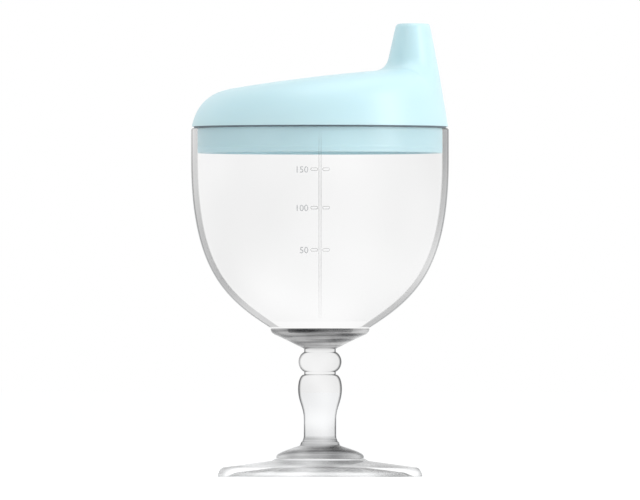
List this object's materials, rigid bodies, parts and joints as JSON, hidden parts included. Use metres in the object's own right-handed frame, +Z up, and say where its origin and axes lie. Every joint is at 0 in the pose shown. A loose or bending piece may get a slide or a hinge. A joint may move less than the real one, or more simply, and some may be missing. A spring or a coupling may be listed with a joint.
{
  "type": "sippy cup",
  "caption": "Goblet-shaped toddler drinking cup with a clear graduated bowl on a turned stem and foot, and a push-on lid with an oval drinking spout.",
  "frame": {"origin": "centre of the foot's ring, on the surface the cup stands on", "axes": "+Z up along the stem, +X towards the drinking spout, -Y towards the graduated scale"},
  "size_m": [0.079, 0.0793, 0.1387],
  "materials": {
    "clear_bowl": "clear moulded copolyester, glossy",
    "clear_stem": "clear solid moulding, glossy",
    "clear_foot": "clear moulded plate, glossy",
    "lid_plastic": "pale blue polypropylene, soft satin gloss",
    "seal_silicone": "satin silicone",
    "valve_silicone": "satin translucent silicone"
  },
  "bodies": {
    "goblet": {"bowl": "clear_bowl", "stem": "clear_stem", "foot": "clear_foot"},
    "seal": {"lid_seal_ring": "seal_silicone"},
    "lid": {"lid_shell": "lid_plastic"},
    "valve": {"spout_valve": "valve_silicone"}
  },
  "joints": [
    {"name": "lid_lift", "type": "slide", "parent": "goblet", "child": "seal", "axis": [0, 0, 1], "range_m": [0, 0.06]},
    {"name": "lid_turn", "type": "hinge", "parent": "seal", "child": "lid", "pos_m": [0, 0, 0.108], "axis": [0, 0, 1], "continuous": true},
    {"name": "valve_pull", "type": "slide", "parent": "lid", "child": "valve", "axis": [0, 0, 1], "range_m": [-0.02, 0]}
  ]
}
